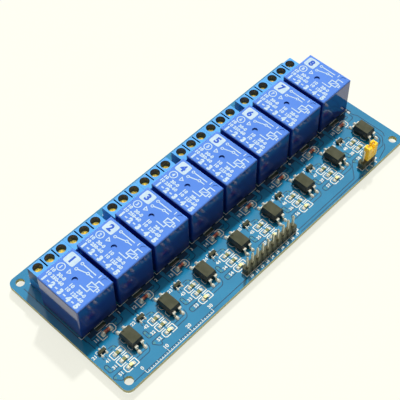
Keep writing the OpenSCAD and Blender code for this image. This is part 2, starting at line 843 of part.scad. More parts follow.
module solder_joints() {
    color("lightgray") {
        for (i = relay_numbers) {
            for (p = relay_pin_places)
                translate([channel_x(i) + p[0], relay_y + p[1], 0]) solder_joint(relay_pin_w, relay_pin_t);
            for (k = [0:poles - 1])
                translate([block_x(i) + pole_x(k), block_face_y + contact_leg_y, 0])
                    solder_joint(contact_w, contact_t);
        }
        for (x = header_pin_xs(header_pins_n))
            translate([header_x + x, header_y, 0]) solder_joint(header_pin_w, header_pin_w);
        for (x = header_pin_xs(jumper_pins_n))
            translate([jumper_x + x, header_y, 0]) solder_joint(header_pin_w, header_pin_w);
    }
}

circuit_board();
for (i = relay_numbers) {
    relay_cover(i);
    relay_base(i);
    terminal_block(i);
    optocoupler(i);
}
relay_pins();
relay_windings();
relay_bobbins();
relay_cores();
relay_yokes();
terminal_screws();
terminal_clamps();
terminal_contacts();
optocoupler_leads();
diode_glass();
diode_caps();
transistors();
transistor_leads();
resistors();
resistor_ends();
led_bases();
led_lenses();
led_ends();
header_housing();
header_pins();
jumper_housing();
jumper_pins();
jumper_cap();
jumper_contact();
solder_joints();
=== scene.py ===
# Relay module board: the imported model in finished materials, with its print, copper and solder.
# Sizes are in millimetres unless a note says otherwise; pieces are turned to metres when made.
import math
import bpy
import numpy as np
from mathutils import Matrix, Vector


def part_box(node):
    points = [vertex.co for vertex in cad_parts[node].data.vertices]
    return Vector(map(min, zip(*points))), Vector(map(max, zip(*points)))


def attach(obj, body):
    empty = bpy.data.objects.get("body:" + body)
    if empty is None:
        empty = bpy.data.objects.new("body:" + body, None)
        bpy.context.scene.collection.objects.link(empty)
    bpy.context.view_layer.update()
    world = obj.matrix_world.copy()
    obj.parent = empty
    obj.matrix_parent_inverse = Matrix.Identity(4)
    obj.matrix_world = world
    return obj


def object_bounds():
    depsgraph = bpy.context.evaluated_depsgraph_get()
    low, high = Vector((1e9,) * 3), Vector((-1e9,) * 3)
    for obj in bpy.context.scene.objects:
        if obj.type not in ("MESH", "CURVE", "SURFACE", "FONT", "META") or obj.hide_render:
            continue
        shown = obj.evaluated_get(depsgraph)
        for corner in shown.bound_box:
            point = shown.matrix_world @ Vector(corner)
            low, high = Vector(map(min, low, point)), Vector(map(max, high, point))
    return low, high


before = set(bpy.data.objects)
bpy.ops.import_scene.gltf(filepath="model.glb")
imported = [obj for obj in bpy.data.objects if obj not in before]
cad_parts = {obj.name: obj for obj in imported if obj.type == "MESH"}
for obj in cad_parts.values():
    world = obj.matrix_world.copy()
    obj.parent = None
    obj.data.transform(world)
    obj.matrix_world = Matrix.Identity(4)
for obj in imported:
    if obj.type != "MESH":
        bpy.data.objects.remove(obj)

cadBounds = [[float(v) for v in corner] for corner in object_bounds()]
print("stage: frame loaded,", len(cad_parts), "nodes")


# Lowest and highest corners of a node's box
def boxMm(node):
    low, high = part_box(node)
    return np.array(low) * 1000, np.array(high) * 1000


# Names of the nodes that each of the eight channels has one of
def eachOf(name):
    return ["%s_%d" % (name, i) for i in range(1, 9)]


boardLow, boardHigh = boxMm("circuit_board")
boardTop = boardHigh[2]
coverBoxes = [boxMm(name) for name in eachOf("relay_cover")]
blockBoxes = [boxMm(name) for name in eachOf("terminal_block")]
channelXs = np.array([(low[0] + high[0]) / 2 for low, high in coverBoxes])
relayFront, relayRear = coverBoxes[0][0][1], coverBoxes[0][1][1]
relayTop = coverBoxes[0][1][2]
relayMiddle = (relayFront + relayRear) / 2
relayHalf = (coverBoxes[0][1][0] - coverBoxes[0][0][0]) / 2
channelPitch = channelXs[1] - channelXs[0]


# Centre and size, within one channel, of a node that holds the same small part for all channels
def channelSpot(node):
    low, high = boxMm(node)
    size = high - low
    size[0] -= channelXs[-1] - channelXs[0]
    return (low[0] + high[0]) / 2 - channelXs.mean(), (low[1] + high[1]) / 2, size


# sRGB hex to linear: below 0.04045 divided by 12.92, above it ((v + 0.055) / 1.055) to the power 2.4
def linear(hexCode):
    values = [int(hexCode[i:i + 2], 16) / 255 for i in (1, 3, 5)]
    return [v / 12.92 if v <= 0.04045 else ((v + 0.055) / 1.055) ** 2.4 for v in values] + [1.0]


# Adds one node: settings are its own properties, sockets its inputs by name or number (a value or a link)
def addNode(tree, kind, sockets=None, **settings):
    node = tree.nodes.new("ShaderNode" + kind)
    for key, value in settings.items():
        setattr(node, key, value)
    for key, value in (sockets or {}).items():
        if isinstance(value, bpy.types.NodeSocket):
            tree.links.new(value, node.inputs[key])
        else:
            node.inputs[key].default_value = value
    return node


# A surface whose colour drifts between two tones in patches and whose skin has a grain of some depth;
# its roughness runs between two limits. Noise scale is 1000 / size in mm, as coordinates are metres.
def grainedFinish(recipe):
    material = bpy.data.materials.new(recipe["name"])
    material.use_nodes = True
    tree = material.node_tree
    shader = tree.nodes["Principled BSDF"]
    place = addNode(tree, "TexCoord").outputs["Object"]
    patches = addNode(tree, "TexNoise", {"Vector": place, "Scale": 1000 / recipe["patchMm"], "Detail": 4.0})
    drift = addNode(tree, "MapRange", {"Value": patches.outputs["Fac"], "From Min": 0.35, "From Max": 0.65})
    first, second = map(linear, recipe["tones"])
    tones = addNode(tree, "Mix", {0: drift.outputs[0], 6: first, 7: second}, data_type="RGBA")
    grain = addNode(tree, "TexNoise", {"Vector": place, "Scale": 1000 / recipe["grainMm"], "Detail": 2.0})
    bump = addNode(tree, "Bump", {"Height": grain.outputs["Fac"], "Strength": 1.0,
                                  "Distance": recipe["depthMm"] / 1000})
    rough = addNode(tree, "MapRange", {"Value": patches.outputs["Fac"], "From Min": 0.3, "From Max": 0.7,
                                       "To Min": recipe["roughness"][0], "To Max": recipe["roughness"][1]})
    tree.links.new(tones.outputs[2], shader.inputs["Base Color"])
    tree.links.new(rough.outputs[0], shader.inputs["Roughness"])
    tree.links.new(bump.outputs[0], shader.inputs["Normal"])
    for key, value in recipe.get("shader", {}).items():
        shader.inputs[key].default_value = value
    return material


# Object coordinates in millimetres, one socket for each axis
def placeMm(tree):
    place = addNode(tree, "VectorMath", {0: addNode(tree, "TexCoord").outputs["Object"], 3: 1000.0},
                    operation="SCALE")
    return addNode(tree, "SeparateXYZ", {0: place.outputs[0]}).outputs


# 1 where a value lies within reach of the middle, after wrapping it into one repeat if there is one
def near(tree, value, middle, reach, repeat=0.0):
    if repeat:
        value = addNode(tree, "Math", {0: value, 1: middle + repeat / 2, 2: middle - repeat / 2},
                        operation="WRAP").outputs[0]
    return addNode(tree, "Math", {0: value, 1: middle, 2: reach}, operation="COMPARE").outputs[0]


# Product of several factors
def allOf(tree, factors):
    product = factors[0]
    for factor in factors[1:]:
        product = addNode(tree, "Math", {0: product, 1: factor}, operation="MULTIPLY").outputs[0]
    return product


# 1 on upright walls, 0 on faces that look up or down, with a soft change round the edges
def onWalls(tree):
    normal = addNode(tree, "SeparateXYZ", {0: addNode(tree, "NewGeometry").outputs["Normal"]})
    level = addNode(tree, "Math", {0: normal.outputs["Z"]}, operation="ABSOLUTE")
    return addNode(tree, "MapRange", {"Value": level.outputs[0], "From Min": 0.35, "From Max": 0.9,
                                      "To Min": 1.0, "To Max": 0.0}).outputs[0]


# A second tone laid over a finish where the factor is 1
def overlay(material, factor, tone):
    tree = material.node_tree
    colour = tree.nodes["Principled BSDF"].inputs["Base Color"]
    mixed = addNode(tree, "Mix", {0: factor, 6: colour.links[0].from_socket, 7: linear(tone)},
                    data_type="RGBA")
    tree.links.new(mixed.outputs[2], colour)


# Four-sided faces of a grid of points given row by row; wrapped rows close on themselves
def gridFaces(rows, columns, wrapped=False):
    r, c = np.meshgrid(np.arange(rows - 1), np.arange(columns if wrapped else columns - 1), indexing="ij")
    n = (c + 1) % columns
    return np.stack([r * columns + c, r * columns + n, (r + 1) * columns + n, (r + 1) * columns + c],
                    -1).reshape(-1, 4)


# One shape set down at several places: every point plus every place
def placed(shape, places):
    points, faces = shape
    places = np.atleast_2d(np.array(places, float))
    allPoints = (points[None] + places[:, None]).reshape(-1, 3)
    allFaces = (faces[None] + len(points) * np.arange(len(places))[:, None, None]).reshape(-1, faces.shape[1])
    return allPoints, allFaces


# Corners rounded: each inner corner becomes a curve (1-t)^2 a + 2t(1-t) corner + t^2 b,
# where a and b lie the radius away from it along its two sides
def softened(line, radius, steps=5):
    line = np.array(line, float)
    if len(line) < 3 or radius <= 0:
        return line
    corner = line[1:-1]
    back, ahead = line[:-2] - corner, line[2:] - corner
    reach = lambda side: side * np.minimum(radius / np.linalg.norm(side, axis=1), 0.5)[:, None]
    a, b = corner + reach(back), corner + reach(ahead)
    t = np.linspace(0, 1, steps)[None, :, None]
    arcs = (1 - t) ** 2 * a[:, None] + 2 * t * (1 - t) * corner[:, None] + t ** 2 * b[:, None]
    return np.vstack([line[:1], arcs.reshape(-1, 2), line[-1:]])


# Flat line of even width: each point moved both ways along the mitre (n1 + n2) / (1 + n1.n2);
# repeated points are dropped
def ribbon(line, width, z, radius=0.0):
    line = softened(line, radius)
    line = line[np.append(True, np.linalg.norm(np.diff(line, axis=0), axis=1) > 1e-6)]
    ahead = np.diff(line, axis=0)
    ahead /= np.linalg.norm(ahead, axis=1)[:, None]
    normal = np.stack([-ahead[:, 1], ahead[:, 0]], 1)
    before, after = np.vstack([normal[:1], normal]), np.vstack([normal, normal[-1:]])
    mitre = (before + after) / (1 + (before * after).sum(1))[:, None]
    sides = np.stack([line + mitre * width / 2, line - mitre * width / 2], 1).reshape(-1, 2)
    points = np.column_stack([sides, np.full(len(sides), z)])
    return points, gridFaces(len(line), 2)[:, ::-1]


# Height of the next flat shape in a list, a micrometre over the last one, so that no two share a plane
def stacked(z, shapes):
    return z + 0.001 * (1 + len(shapes) % 5)


# Flat patch between two corners
def patch(x0, y0, x1, y1, z):
    points = np.array([[x0, y0, z], [x1, y0, z], [x1, y1, z], [x0, y1, z]], float)
    return points, np.array([[0, 1, 2, 3]])


# Flat ring: radius runs from inner to outer, angle goes all round
def ring(x, y, inner, outer, z, steps=20):
    angle = np.arange(steps) * 2 * np.pi / steps
    radii = np.array([[outer], [inner]])
    points = np.stack([x + radii * np.cos(angle), y + radii * np.sin(angle), np.full((2, steps), z)], -1)
    return points.reshape(-1, 3), gridFaces(2, steps, True)


# Frozen drop of solder: height times (1 - |u|^p)(1 - |v|^p) over a pad, u and v running from -1 to 1.
# The corners are drawn in by roundness (0.29 makes the outline a circle).
def solderMound(width, length, height, roundness=0.16, power=2.6, steps=9):
    u, v = np.meshgrid(np.linspace(-1, 1, steps), np.linspace(-1, 1, steps))
    pull = 1 - roundness * (u * v) ** 2
    z = height * (1 - np.abs(u) ** power) * (1 - np.abs(v) ** power)
    points = np.stack([u * pull * width / 2, v * pull * length / 2, z], -1).reshape(-1, 3)
    return points, gridFaces(steps, steps)


glyphCache = {}


# Outline of a number as a flat mesh, centred on the origin, its digits one unit high
def glyphs(text, weight=0.0):
    if (text, weight) not in glyphCache:
        curve = bpy.data.curves.new("digits", "FONT")
        curve.body, curve.offset, curve.resolution_u = text, weight, 3
        curve.space_character = 1 + weight * 1.6  # heavier digits stand further apart
        helper = bpy.data.objects.new("digits", curve)
        bpy.context.scene.collection.objects.link(helper)
        bpy.context.view_layer.update()
        mesh = bpy.data.meshes.new_from_object(helper.evaluated_get(bpy.context.evaluated_depsgraph_get()))
        mesh.calc_loop_triangles()
        points = np.empty(len(mesh.vertices) * 3)
        mesh.vertices.foreach_get("co", points)
        faces = np.empty(len(mesh.loop_triangles) * 3, int)
        mesh.loop_triangles.foreach_get("vertices", faces)
        bpy.data.objects.remove(helper)
        bpy.data.curves.remove(curve)
        bpy.data.meshes.remove(mesh)
        points, faces = points.reshape(-1, 3), faces.reshape(-1, 3)
        low, high = points.min(0), points.max(0)
        points = (points - (low + high) / 2) / (high[1] - low[1])
        a, b, c = points[faces].transpose(1, 0, 2)
        down = np.cross(b - a, c - a)[:, 2] < 0
        faces[down] = faces[down][:, ::-1]
        glyphCache[(text, weight)] = points, faces
    return glyphCache[(text, weight)]


# A number of a given height at a place, turned by a number of degrees about the upright axis
def number(text, x, y, z, height, turn=0, weight=0.03):
    points, faces = glyphs(str(text), weight)
    c, s = math.cos(math.radians(turn)), math.sin(math.radians(turn))
    points = points * [height, height, 0] @ np.array([[c, s, 0], [-s, c, 0], [0, 0, 1]])
    return points + [x, y, z], faces


# Joins shapes into one mesh object at the origin, in metres
def makePiece(name, shapes, material, smooth=False):
    points, faces, count = [], [], 0
    for shapePoints, shapeFaces in shapes:
        points.append(shapePoints)
        faces += (shapeFaces + count).tolist()
        count += len(shapePoints)
    mesh = bpy.data.meshes.new(name)
    mesh.from_pydata((np.vstack(points) / 1000).tolist(), [], faces)
    mesh.polygons.foreach_set("use_smooth", [smooth] * len(mesh.polygons))
    mesh.materials.append(material)
    mesh.update()
    piece = bpy.data.objects.new(name, mesh)
    bpy.context.scene.collection.objects.link(piece)
    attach(piece, "root")
    return piece


# Gives the named CAD nodes one finish in all their material slots
def dress(material, *names):
    for name in names:
        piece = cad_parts[name]
        if not piece.material_slots:
            piece.data.materials.append(material)
        for slot in piece.material_slots:
            slot.material = material


# The milled isolation slot at each relay's foot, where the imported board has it: its middle in X from
# the relay's middle, and its gap in Y to the relay
slotPlan = {"middle": -0.7, "halfLength": 2.2, "halfWidth": 0.65, "toRelay": 0.3}
slotY = relayFront - slotPlan["toRelay"] - slotPlan["halfWidth"]
slotEnds = [slotPlan["middle"] + s * slotPlan["halfLength"] for s in (-1, 1)]
slotYs = [slotY + s * slotPlan["halfWidth"] for s in (-1, 1)]

boardLook = {
    "onCopper": ("#127faa", "#1a87b2"), "onLaminate": ("#093a58", "#0b4060"),  # mask over each
    # raw laminate at cuts in two layer tones; the slot walls' grey-green is painted shade
    "laminate": ("#e8e7b4", "#dbd9a0"), "slotWallShade": "#6c8478",
    "weaveMm": 0.3456, "weaveDepthMm": 0.0015,  # threads of the glass cloth under the mask
    "layerMm": 0.355,  # cloth layers at a cut, drawn twice as coarse as the real 0.18 so that they show
    "maskRoughness": (0.1, 0.16), "cutRoughness": 0.75,
}


# Scale at which a wave texture repeats every so many millimetres: at 1 it repeats every 2 pi / 20 metres
def waveScale(mm):
    return 1000 * 2 * math.pi / 20 / mm


# Liquid solder mask, cured to a gloss: a clear blue that looks deep on bare laminate and lighter on copper,
# with the faint weave of the glass cloth under it.
# With cutEdges, the walls of the outline, holes and slots show the raw yellow-green laminate in layers.
def maskFinish(name, tones, cutEdges=False):
    material = grainedFinish({
        "name": name, "tones": tones, "patchMm": 9, "grainMm": 0.3, "depthMm": 0.002,
        "roughness": boardLook["maskRoughness"], "shader": {"IOR": 1.62}})
    tree = material.node_tree
    shader = tree.nodes["Principled BSDF"]
    place = addNode(tree, "TexCoord").outputs["Object"]
    waves = [addNode(tree, "TexWave", {"Vector": place, "Scale": waveScale(boardLook["weaveMm"])},
                     bands_direction=axis).outputs["Fac"] for axis in "XY"]
    weave = addNode(tree, "Bump", {"Height": allOf(tree, waves), "Distance": boardLook["weaveDepthMm"] / 1000,
                                   "Normal": shader.inputs["Normal"].links[0].from_socket})
    tree.links.new(weave.outputs[0], shader.inputs["Normal"])
    if not cutEdges:
        return material
    normal = addNode(tree, "SeparateXYZ", {0: addNode(tree, "NewGeometry").outputs["Normal"]})
    level = addNode(tree, "Math", {0: normal.outputs["Z"]}, operation="ABSOLUTE")
    isFace = addNode(tree, "Math", {0: level.outputs[0], 1: 0.5}, operation="GREATER_THAN")
    layers = addNode(tree, "TexWave", {"Vector": place, "Scale": waveScale(boardLook["layerMm"]),
                                       "Distortion": 1.5}, bands_direction="Z")
    pale, dark = map(linear, boardLook["laminate"])
    raw = addNode(tree, "Mix", {0: layers.outputs["Fac"], 6: pale, 7: dark}, data_type="RGBA")
    # the walls of the narrow slots get a duller grey-green: painted shade in these deep, narrow cuts
    axes = placeMm(tree)
    slotShadeMask = allOf(tree, [near(tree, axes[0], 0.0, boardHigh[0] - 2),
                          near(tree, axes[1], slotY, slotPlan["halfWidth"] + 0.2)])
    raw = addNode(tree, "Mix", {0: slotShadeMask, 6: raw.outputs[2], 7: linear(boardLook["slotWallShade"])},
                  data_type="RGBA")
    mask = shader.inputs["Base Color"].links[0].from_socket
    both = addNode(tree, "Mix", {0: isFace.outputs[0], 6: raw.outputs[2], 7: mask}, data_type="RGBA")
    tree.links.new(both.outputs[2], shader.inputs["Base Color"])
    gloss = shader.inputs["Roughness"].links[0].from_socket
    rough = addNode(tree, "Mix", {0: isFace.outputs[0], 2: boardLook["cutRoughness"], 3: gloss})
    tree.links.new(rough.outputs[0], shader.inputs["Roughness"])
    return material


dress(maskFinish("solder_mask_on_copper", boardLook["onCopper"], cutEdges=True), "circuit_board")
maskOnTrack = maskFinish("solder_mask_on_track", boardLook["onCopper"])
maskOnLaminate = maskFinish("solder_mask_on_laminate", boardLook["onLaminate"])

print("stage: board finish")

# Screen-printed epoxy ink: warm white, dull and slightly uneven
inkWhite = grainedFinish({
    "name": "white_legend_ink", "tones": ("#fbfdf4", "#eff2e6"), "patchMm": 1.2, "grainMm": 0.12,
    "depthMm": 0.004, "roughness": (0.45, 0.6)})

# heights of the thin layers on the board's top
layerZ = {"bare": boardTop + 0.012, "track": boardTop + 0.018, "ring": boardTop + 0.022,
          "ink": boardTop + 0.03}

# where each small part sits: X from its relay's middle, Y on the board
diodeX, diodeY = channelSpot("diode_caps")[:2]
optoX, optoY = sum(boxMm("optocoupler_1"))[:2] / 2 - [channelXs[0], 0]
transX, transY = channelSpot("transistors")[:2]
chipX, ledY, ledSize = channelSpot("led_bases")
resistorYs = [boxMm("resistors")[0][1] + ledSize[1] / 2, boxMm("resistors")[1][1] - ledSize[1] / 2]
headerLow, headerHigh = boxMm("header_housing")
jumperLow, jumperHigh = boxMm("jumper_housing")
headerXs = headerLow[0] + (np.arange(10) + 0.5) * (headerHigh[0] - headerLow[0]) / 10
jumperXs = jumperLow[0] + (np.arange(3) + 0.5) * (jumperHigh[0] - jumperLow[0]) / 3
headerY = (headerLow[1] + headerHigh[1]) / 2
blockRear = blockBoxes[0][1][1]

# Solder mask that sags into a plated hole: a thin, dull grey-green rim
viaRim = grainedFinish({
    "name": "tented_via_rim", "tones": ("#4f8f86", "#6fa08a"), "patchMm": 0.6, "grainMm": 0.1,
    "depthMm": 0.004, "roughness": (0.25, 0.4)})

copperPlan = {
    "gap": 0.27,  # width of the lines without copper between tracks
    "isolationY": (relayFront - 2.15, relayFront + 0.6),  # strip without copper at the relays' feet
    "endReach": 0.1,  # how far that strip goes past the outer relays
    "coilTrack": (-7.35, -6.05),  # the two tracks that cross it in each channel, from the relay's middle
    "sideTrack": (4.85, 6.2),
    # lanes in the rear strip: how far each goes past the blocks, where one has to miss the mounting holes
    "rearLanes": {-8.375: 0.2, -2.7: 4.8, 2.7: 4.8},
}


# The board's top layer: lines and strips without copper, tracks that cross them, and via rims
def drawCopper():
    gap, bareZ, trackZ = copperPlan["gap"], layerZ["bare"], layerZ["track"]
    bare, tracks, rings = [], [], []
    line = lambda points, dx=0.0, radius=0.5: bare.append(
        ribbon(np.array(points) + [dx, 0], gap, stacked(bareZ, bare), radius))
    # the isolation strip between the drive side and the contacts, cut round the slots
    y0, y1 = copperPlan["isolationY"]
    reach = relayHalf + copperPlan["endReach"]
    ends = [channelXs[0] - reach, channelXs[-1] + reach]
    bounds = sorted(ends + [x + s for x in channelXs for s in slotEnds])
    for a, b in zip(bounds[0::2], bounds[1::2]):
        bare.append(patch(a, y0, b, y1, bareZ))
    for x in channelXs:
        bare.append(patch(x + slotEnds[0], y0, x + slotEnds[1], slotYs[0], bareZ))
        bare.append(patch(x + slotEnds[0], slotYs[1], x + slotEnds[1], y1, bareZ))
    # the rear strip behind the relays carries wide contact tracks with clear lanes between them
    for x in channelXs:
        for lane, past in copperPlan["rearLanes"].items():
            line([[lane, relayFront + 1], [lane, blockRear + past]], x, 0)
    a, b = copperPlan["coilTrack"]
    a2, b2 = copperPlan["sideTrack"]
    for k, x in enumerate(channelXs):
        tracks.append(patch(x + a, y0, x + b, y1, trackZ))
        tracks.append(patch(x + a2, y0, x + b2, y1, trackZ))
        # coil pin to transistor, with a branch to the diode's left pad
        line([[a, y0], [a, transY + 2.1]], x)
        line([[b, y0 + 1.0], [b, diodeY + 1.0], [diodeX - 2.9, diodeY + 1.0]], x, 0)
        line([[b, diodeY - 1.15], [b, transY + 1.6]], x, 0)
        line([[b, diodeY - 1.15], [diodeX - 2.9, diodeY - 1.15]], x, 0)
        # diode's right pad to the other coil pin and down to the optocoupler
        line([[b2, y0], [b2, diodeY - 0.2], [b2 - 0.9, diodeY - 0.72], [diodeX + 3.3, diodeY - 0.72]], x, 0.4)
        line([[a2, y0 + 1.2], [a2, diodeY + 0.95], [diodeX + 3.3, diodeY + 0.95]], x, 0.3)
        line([[0.45, diodeY - 1.7], [0.45, optoY + 5.0]], x, 0)
        line([[1.85, diodeY - 1.7], [1.85, optoY + 5.0]], x, 0)
        rings.append(ring(x + 3.45, diodeY + 0.1, 0.18, 0.38, layerZ["ring"]))
        # transistor to resistor, hooked round a via
        line([[-4.7, transY - 0.6], [-3.1, transY - 0.6], [-2.35, transY - 1.3], [-2.3, transY - 2.3]], x)
        line([[-4.5, transY - 1.75], [-3.9, transY - 1.4], [-3.5, transY - 1.75]], x, 0.3)
        rings.append(ring(x - 2.85, transY - 1.25, 0.16, 0.34, layerZ["ring"]))
        for s in (-0.55, 0.55):
            line([[-7.55 + s, transY - 1.7], [-7.55 + s, resistorYs[1] + 1.0]], x, 0)
        # pair of vias beside the resistors
        top, foot = resistorYs[1] - 0.5, resistorYs[0] - 0.6
        line([[-8.75, top - 2.0], [-8.75, top - 0.3], [-9.35, top + 0.1], [-10.0, top - 0.3],
              [-10.0, foot + 0.3], [-9.4, foot], [-6.2, foot]], x, 0.45)
        rings += [ring(x - 9.4, top - 0.75, 0.18, 0.38, layerZ["ring"]),
                  ring(x - 9.4, foot + 0.75, 0.18, 0.38, layerZ["ring"])]
        # LED to optocoupler, and the LED's own loop, a little different on some channels
        if k not in (3, 4):
            line([[-0.7, ledY + 0.55], [3.9, ledY + 0.55], [4.4, ledY + 1.1]], x)
            line([[-0.7, ledY - 0.8], [3.9, ledY - 0.8], [4.95, ledY + 0.5], [5.15, ledY + 2.2]], x, 0.8)
        if k % 3 == 1 or k == 0:
            line([[-6.2, ledY + 1.05], [-10.1, ledY + 1.05], [-10.7, ledY + 0.35], [-9.1, ledY - 1.7],
                  [-8.45, ledY - 1.95], [-8.0, ledY - 1.5], [-8.0, ledY - 0.85], [-6.2, ledY - 0.85]], x, 0.4)
            rings.append(ring(x - 9.9, ledY + 0.3, 0.18, 0.38, layerZ["ring"]))
        else:
            line([[-6.2, ledY + 1.1], [-10.4, ledY + 1.1], [-10.4, ledY - 0.8], [-6.2, ledY - 0.8]], x, 0.75)
            rings.append(ring(x - 9.7, ledY + 0.1, 0.18, 0.38, layerZ["ring"]))
    # long lines beside the header and out to the jumper
    y = boardLow[1] + 1.5
    line([[boardLow[0] + 4.0, y], [headerLow[0] - 0.6, y]], 0, 0)
    line([[headerHigh[0] + 0.4, y + 0.3], [42.6, y + 0.3], [47.6, y + 5.3], [jumperLow[0] + 3.0, y + 5.3]],
         0, 0.6)
    line([[headerHigh[0] + 0.4, y - 0.85], [jumperLow[0] - 1.0, y - 0.85]], 0, 0)
    line([[jumperHigh[0] + 0.6, y - 0.6], [61.0, y + 0.9], [62.6, y + 2.3]], 0, 0.5)
    line([[jumperHigh[0] + 0.4, y + 2.3], [61.8, y + 2.3], [64.7, y + 5.0], [65.0, optoY - 3.0]], 0, 0.6)
    line([[jumperHigh[0] + 2.0, y + 3.6], [61.6, y + 3.6], [63.6, y + 5.4], [63.9, optoY - 4.0]], 0, 0.6)
    # the last lines beside the optocouplers, near the board's right end
    line([[65.6, relayFront - 2.3], [65.9, diodeY + 0.1], [66.5, diodeY - 0.9], [66.5, optoY - 5.0],
          [65.4, optoY - 6.6]], 0, 0.6)
    makePiece("laminate_gaps", bare, maskOnLaminate)
    makePiece("bridging_tracks", tracks, maskOnTrack)
    makePiece("via_rings", rings, viaRim)


drawCopper()
print("stage: copper")

# Tin solder, frozen from liquid: pale, under a frosted skin that scatters more light than it mirrors
solderSkin = grainedFinish({
    "name": "tin_solder", "tones": ("#fffdec", "#f1eedc"), "patchMm": 0.7, "grainMm": 0.16,
    "depthMm": 0.008, "roughness": (0.3, 0.42), "shader": {"Metallic": 0.35}})

undersidePlan = {
    "trackWidth": 2.5,  # bare contact tracks, flooded with solder to carry the load current
    "clearance": 0.35,  # dark gap left round tracks and pads
    "padRadius": 1.15, "headerPadRadius": 0.88,
    "depth": 0.02,  # how far the tinning stands out
}


# Where a node's pins end below the board: end points nearer to each other than 1.2 mm are one pin
def pinTails(node):
    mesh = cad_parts[node].data
    points = np.empty(len(mesh.vertices) * 3, np.float32)
    mesh.vertices.foreach_get("co", points)
    points = points.reshape(-1, 3).astype(float) * 1000
    ends = np.unique(points[points[:, 2] < points[:, 2].min() + 0.05, :2].round(3), axis=0)
    first = (np.linalg.norm(ends[:, None] - ends[None], axis=2) < 1.2).argmax(1)
    pin = np.unique(first, return_inverse=True)[1].ravel()
    return np.stack([np.bincount(pin, ends[:, k]) / np.bincount(pin) for k in (0, 1)], 1)


# Pads, contact tracks and mask gaps below the board: flat shapes with their faces turned over
def drawUnderside():
    plan = undersidePlan
    gapZ, tinZ = boardLow[2] - 0.5 * plan["depth"], boardLow[2] - plan["depth"]
    gaps, tin = [], []
    track = lambda shapes, points, width, z, radius=0.6: shapes.append(
        ribbon(points, width, 2 * z - stacked(z, shapes), radius))
    relayTails, contactTails = pinTails("relay_pins"), pinTails("terminal_contacts")
    contactTails = contactTails[contactTails[:, 0].argsort()]
    for k, x in enumerate(channelXs):
        pins = relayTails[np.abs(relayTails[:, 0] - x) < relayHalf]
        common = pins[np.abs(pins[:, 0] - x).argmin()]
        rear = pins[pins[:, 1] > relayMiddle]
        rear = rear[rear[:, 0].argsort()]
        for start, end in zip((rear[0], common, rear[1]), contactTails[3 * k:3 * k + 3]):
            turn = (rear[0][1] + end[1]) / 2 - 0.6
            path = [start, [start[0], turn], [end[0], turn + max(2.0, abs(end[0] - start[0]))], end]
            track(gaps, path, plan["trackWidth"] + 2 * plan["clearance"], gapZ)
            track(tin, path, plan["trackWidth"], tinZ)
        # two thin coil tracks run forward from the coil pins, past the slot
        for pin in pins[(pins[:, 1] < relayMiddle) & (np.abs(pins[:, 0] - x) > 1)]:
            side = np.sign(pin[0] - x)
            for s in (-0.7, 0.7):
                track(gaps, [[pin[0] + s, pin[1] - 1.0], [pin[0] + s, optoY + 1.5 * side + 4],
                             [pin[0] + s - side * 1.6, optoY + 1.5 * side + 2.4],
                             [pin[0] + s - side * 1.6, optoY - 2.5]], copperPlan["gap"], gapZ)
    # one line between each two of the header's tracks, fanning out to the channels
    for j in range(len(headerXs) - 1):
        x = (headerXs[j] + headerXs[j + 1]) / 2
        lane = headerY + 2.0 + 0.75 * min(j, len(headerXs) - 2 - j)
        goal = channelXs[min(j, 7)] + (1.5 if j < 4 else -1.5 if j < 8 else 5)
        if j != 4:
            track(gaps, [[x, headerY + 0.9], [x, lane], [goal, lane], [goal, optoY - 3.4]],
                  copperPlan["gap"], gapZ, 0.9)
    for node, reach in (("relay_pins", "padRadius"), ("terminal_contacts", "padRadius"),
                        ("header_pins", "headerPadRadius"), ("jumper_pins", "headerPadRadius")):
        tails = pinTails(node)
        places = np.column_stack([tails, np.zeros(len(tails))])
        clear = plan["clearance"] if reach == "padRadius" else 0.2
        gaps.append(placed(ring(0, 0, 0.2, plan[reach] + clear, gapZ - 0.004), places))
        tin.append(placed(ring(0, 0, 0.2, plan[reach], tinZ - 0.008), places))
    turnedOver = lambda shapes: [(points, faces[:, ::-1]) for points, faces in shapes]
    makePiece("underside_gaps", turnedOver(gaps), maskOnLaminate)
    makePiece("underside_tinning", turnedOver(tin), solderSkin)


drawUnderside()
print("stage: underside")

legendPlan = {"stroke": 0.32, "thin": 0.2, "height": 1.25, "ruleMm": 30, "poleMm": 5}


